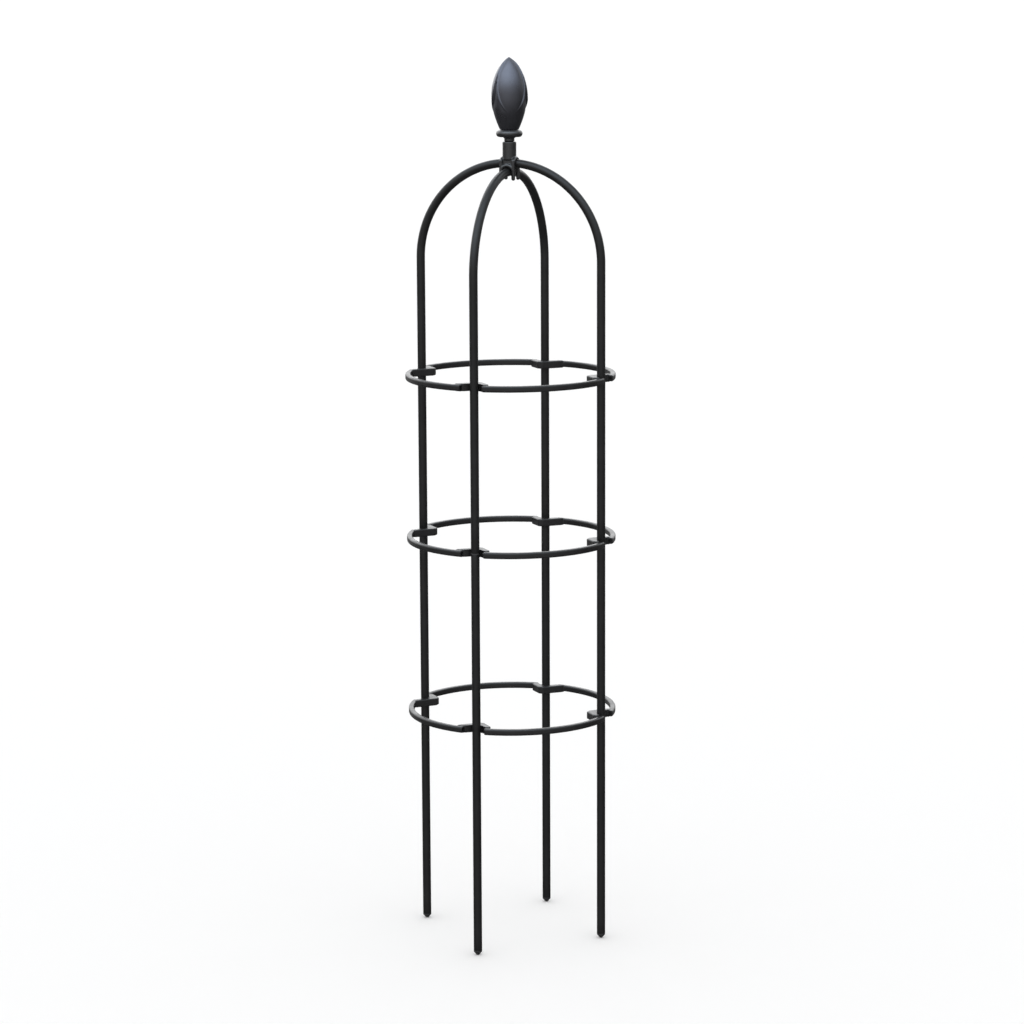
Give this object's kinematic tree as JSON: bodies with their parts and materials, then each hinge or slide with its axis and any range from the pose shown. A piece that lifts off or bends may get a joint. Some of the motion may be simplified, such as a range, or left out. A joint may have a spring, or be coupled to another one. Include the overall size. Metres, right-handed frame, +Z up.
{
  "type": "garden obelisk",
  "caption": "Tall round garden obelisk of dark coated tube, with crossing dome arches, clip-on hoops and a flower bud finial, for climbing plants.",
  "frame": {"origin": "on the ground, at the centre of the four legs", "axes": "+Z up, towards the finial; the front leg is at -Y and the right leg at +X"},
  "size_m": [0.2818, 0.2818, 1.2],
  "materials": {
    "coated_tube": "smooth satin charcoal coating on a metal tube",
    "point_plastic": "moulded charcoal plastic, satin",
    "coupling_plastic": "moulded dark grey plastic, hidden in the tubes",
    "hoop_plastic": "moulded charcoal plastic, satin, with a soft sheen",
    "finial_plastic": "moulded charcoal plastic, semi-gloss"
  },
  "bodies": {
    "frame": {"arch_upper": "coated_tube", "arch_lower": "coated_tube", "leg_front": "coated_tube", "leg_rear": "coated_tube", "leg_left": "coated_tube", "leg_right": "coated_tube", "coupling_front": "coupling_plastic", "coupling_rear": "coupling_plastic", "coupling_left": "coupling_plastic", "coupling_right": "coupling_plastic", "ground_point_front": "point_plastic", "ground_point_rear": "point_plastic", "ground_point_left": "point_plastic", "ground_point_right": "point_plastic"},
    "hoop_top": {"hoop_top_arc_front_left": "hoop_plastic", "hoop_top_arc_front_right": "hoop_plastic", "hoop_top_arc_rear_left": "hoop_plastic", "hoop_top_arc_rear_right": "hoop_plastic"},
    "hoop_middle": {"hoop_middle_arc_front_left": "hoop_plastic", "hoop_middle_arc_front_right": "hoop_plastic", "hoop_middle_arc_rear_left": "hoop_plastic", "hoop_middle_arc_rear_right": "hoop_plastic"},
    "hoop_bottom": {"hoop_bottom_arc_front_left": "hoop_plastic", "hoop_bottom_arc_front_right": "hoop_plastic", "hoop_bottom_arc_rear_left": "hoop_plastic", "hoop_bottom_arc_rear_right": "hoop_plastic"},
    "finial": {"finial_bud": "finial_plastic", "finial_collar": "finial_plastic", "finial_stem": "finial_plastic"}
  },
  "joints": [
    {"name": "hoop_top_slide", "type": "slide", "parent": "frame", "child": "hoop_top", "axis": [0, 0, 1], "range_m": [-0.1, 0.12]},
    {"name": "hoop_middle_slide", "type": "slide", "parent": "frame", "child": "hoop_middle", "axis": [0, 0, 1], "range_m": [-0.1, 0.1]},
    {"name": "hoop_bottom_slide", "type": "slide", "parent": "frame", "child": "hoop_bottom", "axis": [0, 0, 1], "range_m": [-0.2, 0.1]},
    {"name": "finial_lift", "type": "slide", "parent": "frame", "child": "finial", "axis": [0, 0, 1], "range_m": [0, 0.045]}
  ]
}
